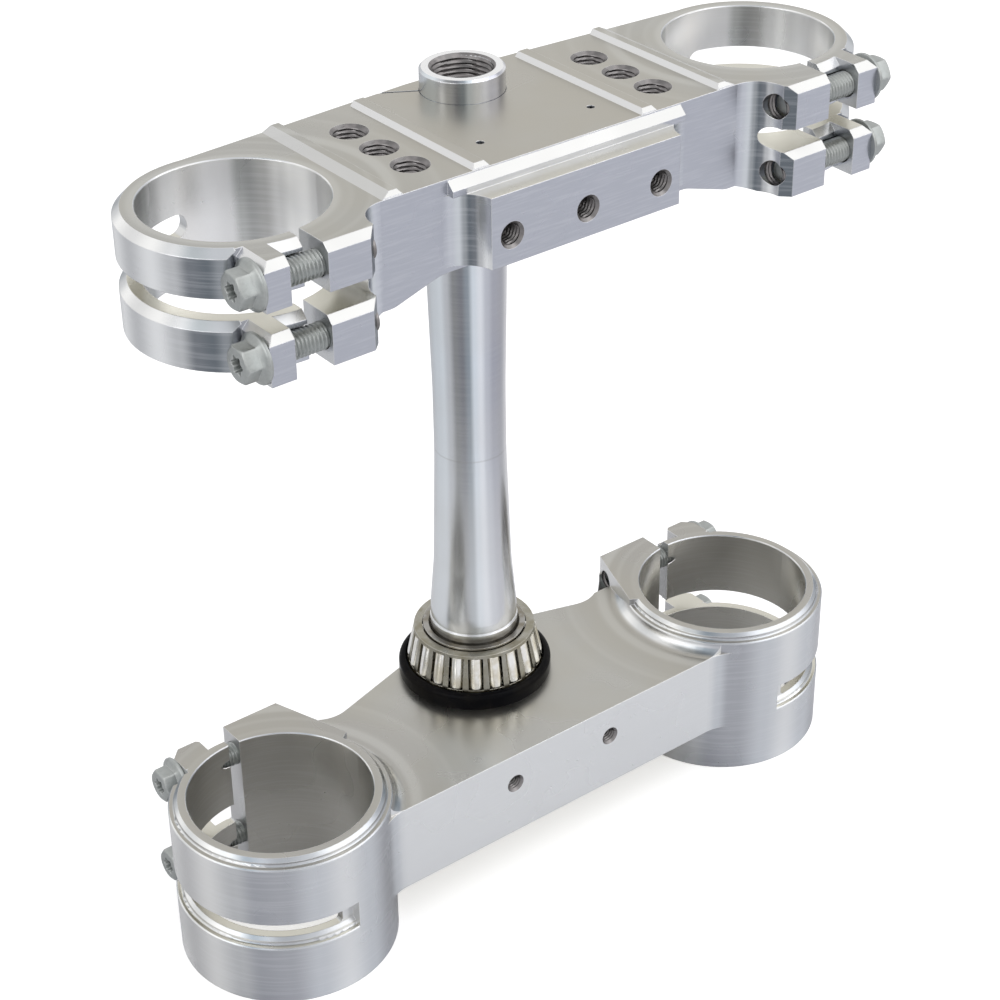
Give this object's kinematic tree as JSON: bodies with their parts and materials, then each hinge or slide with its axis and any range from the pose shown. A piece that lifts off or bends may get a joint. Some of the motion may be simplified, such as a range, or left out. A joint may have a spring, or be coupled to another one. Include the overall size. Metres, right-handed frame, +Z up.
{
  "type": "motorcycle triple clamp",
  "caption": "Pair of machined fork clamps on a hollow steering stem, with split pinch-bolted rings, a tapered roller bearing and a dust seal at the stem's foot.",
  "frame": {"origin": "on the steering axis, in the plane of the lower arm's top face, which the bearing's seal stands on", "axes": "+Z up along the steering axis, front of the motorcycle at -Y, +X to the right when seen from the front"},
  "size_m": [0.263, 0.0914, 0.2717],
  "materials": {
    "satin_aluminium": "machined and clear anodised, satin",
    "bright_aluminium": "turned and polished",
    "bearing_steel": "ground",
    "cage_steel": "pressed sheet, oiled",
    "zinc_plated_steel": "zinc flake, matt",
    "black_rubber": "moulded, glossy"
  },
  "bodies": {
    "clamp_frame": {"upper_clamp": "satin_aluminium", "lower_clamp": "satin_aluminium", "steering_stem": "bright_aluminium", "bearing_cone": "bearing_steel", "dust_seal": "black_rubber", "stem_pinch_bolt": "zinc_plated_steel", "upper_pinch_bolt_high_right": "zinc_plated_steel", "upper_pinch_bolt_high_left": "zinc_plated_steel", "upper_pinch_bolt_low_right": "zinc_plated_steel", "upper_pinch_bolt_low_left": "zinc_plated_steel", "lower_pinch_bolt_high_right": "zinc_plated_steel", "lower_pinch_bolt_high_left": "zinc_plated_steel", "lower_pinch_bolt_low_right": "zinc_plated_steel", "lower_pinch_bolt_low_left": "zinc_plated_steel"},
    "cage": {"roller_cage": "cage_steel"},
    "roller_01_body": {"roller_01": "bearing_steel"},
    "roller_02_body": {"roller_02": "bearing_steel"},
    "roller_03_body": {"roller_03": "bearing_steel"},
    "roller_04_body": {"roller_04": "bearing_steel"},
    "roller_05_body": {"roller_05": "bearing_steel"},
    "roller_06_body": {"roller_06": "bearing_steel"},
    "roller_07_body": {"roller_07": "bearing_steel"},
    "roller_08_body": {"roller_08": "bearing_steel"},
    "roller_09_body": {"roller_09": "bearing_steel"},
    "roller_10_body": {"roller_10": "bearing_steel"},
    "roller_11_body": {"roller_11": "bearing_steel"},
    "roller_12_body": {"roller_12": "bearing_steel"},
    "roller_13_body": {"roller_13": "bearing_steel"},
    "roller_14_body": {"roller_14": "bearing_steel"},
    "roller_15_body": {"roller_15": "bearing_steel"},
    "roller_16_body": {"roller_16": "bearing_steel"},
    "roller_17_body": {"roller_17": "bearing_steel"},
    "roller_18_body": {"roller_18": "bearing_steel"},
    "roller_19_body": {"roller_19": "bearing_steel"},
    "roller_20_body": {"roller_20": "bearing_steel"}
  },
  "joints": [
    {"name": "cage_spin", "type": "hinge", "parent": "clamp_frame", "child": "cage", "pos_m": [0, 0, 0.0112], "axis": [0, 0, 1], "continuous": true},
    {"name": "roller_01_spin", "type": "hinge", "parent": "cage", "child": "roller_01_body", "pos_m": [0, -0.02003, 0.0112], "axis": [0, 0.186, 0.9825], "continuous": true},
    {"name": "roller_02_spin", "type": "hinge", "parent": "cage", "child": "roller_02_body", "pos_m": [0.00619, -0.01905, 0.0112], "axis": [-0.0575, 0.1769, 0.9825], "continuous": true},
    {"name": "roller_03_spin", "type": "hinge", "parent": "cage", "child": "roller_03_body", "pos_m": [0.01177, -0.0162, 0.0112], "axis": [-0.1093, 0.1505, 0.9825], "continuous": true},
    {"name": "roller_04_spin", "type": "hinge", "parent": "cage", "child": "roller_04_body", "pos_m": [0.0162, -0.01177, 0.0112], "axis": [-0.1505, 0.1093, 0.9825], "continuous": true},
    {"name": "roller_05_spin", "type": "hinge", "parent": "cage", "child": "roller_05_body", "pos_m": [0.01905, -0.00619, 0.0112], "axis": [-0.1769, 0.0575, 0.9825], "continuous": true},
    {"name": "roller_06_spin", "type": "hinge", "parent": "cage", "child": "roller_06_body", "pos_m": [0.02003, 0, 0.0112], "axis": [-0.186, 0, 0.9825], "continuous": true},
    {"name": "roller_07_spin", "type": "hinge", "parent": "cage", "child": "roller_07_body", "pos_m": [0.01905, 0.00619, 0.0112], "axis": [-0.1769, -0.0575, 0.9825], "continuous": true},
    {"name": "roller_08_spin", "type": "hinge", "parent": "cage", "child": "roller_08_body", "pos_m": [0.0162, 0.01177, 0.0112], "axis": [-0.1505, -0.1093, 0.9825], "continuous": true},
    {"name": "roller_09_spin", "type": "hinge", "parent": "cage", "child": "roller_09_body", "pos_m": [0.01177, 0.0162, 0.0112], "axis": [-0.1093, -0.1505, 0.9825], "continuous": true},
    {"name": "roller_10_spin", "type": "hinge", "parent": "cage", "child": "roller_10_body", "pos_m": [0.00619, 0.01905, 0.0112], "axis": [-0.0575, -0.1769, 0.9825], "continuous": true},
    {"name": "roller_11_spin", "type": "hinge", "parent": "cage", "child": "roller_11_body", "pos_m": [0, 0.02003, 0.0112], "axis": [0, -0.186, 0.9825], "continuous": true},
    {"name": "roller_12_spin", "type": "hinge", "parent": "cage", "child": "roller_12_body", "pos_m": [-0.00619, 0.01905, 0.0112], "axis": [0.0575, -0.1769, 0.9825], "continuous": true},
    {"name": "roller_13_spin", "type": "hinge", "parent": "cage", "child": "roller_13_body", "pos_m": [-0.01177, 0.0162, 0.0112], "axis": [0.1093, -0.1505, 0.9825], "continuous": true},
    {"name": "roller_14_spin", "type": "hinge", "parent": "cage", "child": "roller_14_body", "pos_m": [-0.0162, 0.01177, 0.0112], "axis": [0.1505, -0.1093, 0.9825], "continuous": true},
    {"name": "roller_15_spin", "type": "hinge", "parent": "cage", "child": "roller_15_body", "pos_m": [-0.01905, 0.00619, 0.0112], "axis": [0.1769, -0.0575, 0.9825], "continuous": true},
    {"name": "roller_16_spin", "type": "hinge", "parent": "cage", "child": "roller_16_body", "pos_m": [-0.02003, 0, 0.0112], "axis": [0.186, 0, 0.9825], "continuous": true},
    {"name": "roller_17_spin", "type": "hinge", "parent": "cage", "child": "roller_17_body", "pos_m": [-0.01905, -0.00619, 0.0112], "axis": [0.1769, 0.0575, 0.9825], "continuous": true},
    {"name": "roller_18_spin", "type": "hinge", "parent": "cage", "child": "roller_18_body", "pos_m": [-0.0162, -0.01177, 0.0112], "axis": [0.1505, 0.1093, 0.9825], "continuous": true},
    {"name": "roller_19_spin", "type": "hinge", "parent": "cage", "child": "roller_19_body", "pos_m": [-0.01177, -0.0162, 0.0112], "axis": [0.1093, 0.1505, 0.9825], "continuous": true},
    {"name": "roller_20_spin", "type": "hinge", "parent": "cage", "child": "roller_20_body", "pos_m": [-0.00619, -0.01905, 0.0112], "axis": [0.0575, 0.1769, 0.9825], "continuous": true}
  ],
  "couplings": [
    {"joint": "roller_01_spin", "follows": "cage_spin", "ratio": 7.4079},
    {"joint": "roller_02_spin", "follows": "cage_spin", "ratio": 7.4079},
    {"joint": "roller_03_spin", "follows": "cage_spin", "ratio": 7.4079},
    {"joint": "roller_04_spin", "follows": "cage_spin", "ratio": 7.4079},
    {"joint": "roller_05_spin", "follows": "cage_spin", "ratio": 7.4079},
    {"joint": "roller_06_spin", "follows": "cage_spin", "ratio": 7.4079},
    {"joint": "roller_07_spin", "follows": "cage_spin", "ratio": 7.4079},
    {"joint": "roller_08_spin", "follows": "cage_spin", "ratio": 7.4079},
    {"joint": "roller_09_spin", "follows": "cage_spin", "ratio": 7.4079},
    {"joint": "roller_10_spin", "follows": "cage_spin", "ratio": 7.4079},
    {"joint": "roller_11_spin", "follows": "cage_spin", "ratio": 7.4079},
    {"joint": "roller_12_spin", "follows": "cage_spin", "ratio": 7.4079},
    {"joint": "roller_13_spin", "follows": "cage_spin", "ratio": 7.4079},
    {"joint": "roller_14_spin", "follows": "cage_spin", "ratio": 7.4079},
    {"joint": "roller_15_spin", "follows": "cage_spin", "ratio": 7.4079},
    {"joint": "roller_16_spin", "follows": "cage_spin", "ratio": 7.4079},
    {"joint": "roller_17_spin", "follows": "cage_spin", "ratio": 7.4079},
    {"joint": "roller_18_spin", "follows": "cage_spin", "ratio": 7.4079},
    {"joint": "roller_19_spin", "follows": "cage_spin", "ratio": 7.4079},
    {"joint": "roller_20_spin", "follows": "cage_spin", "ratio": 7.4079}
  ]
}
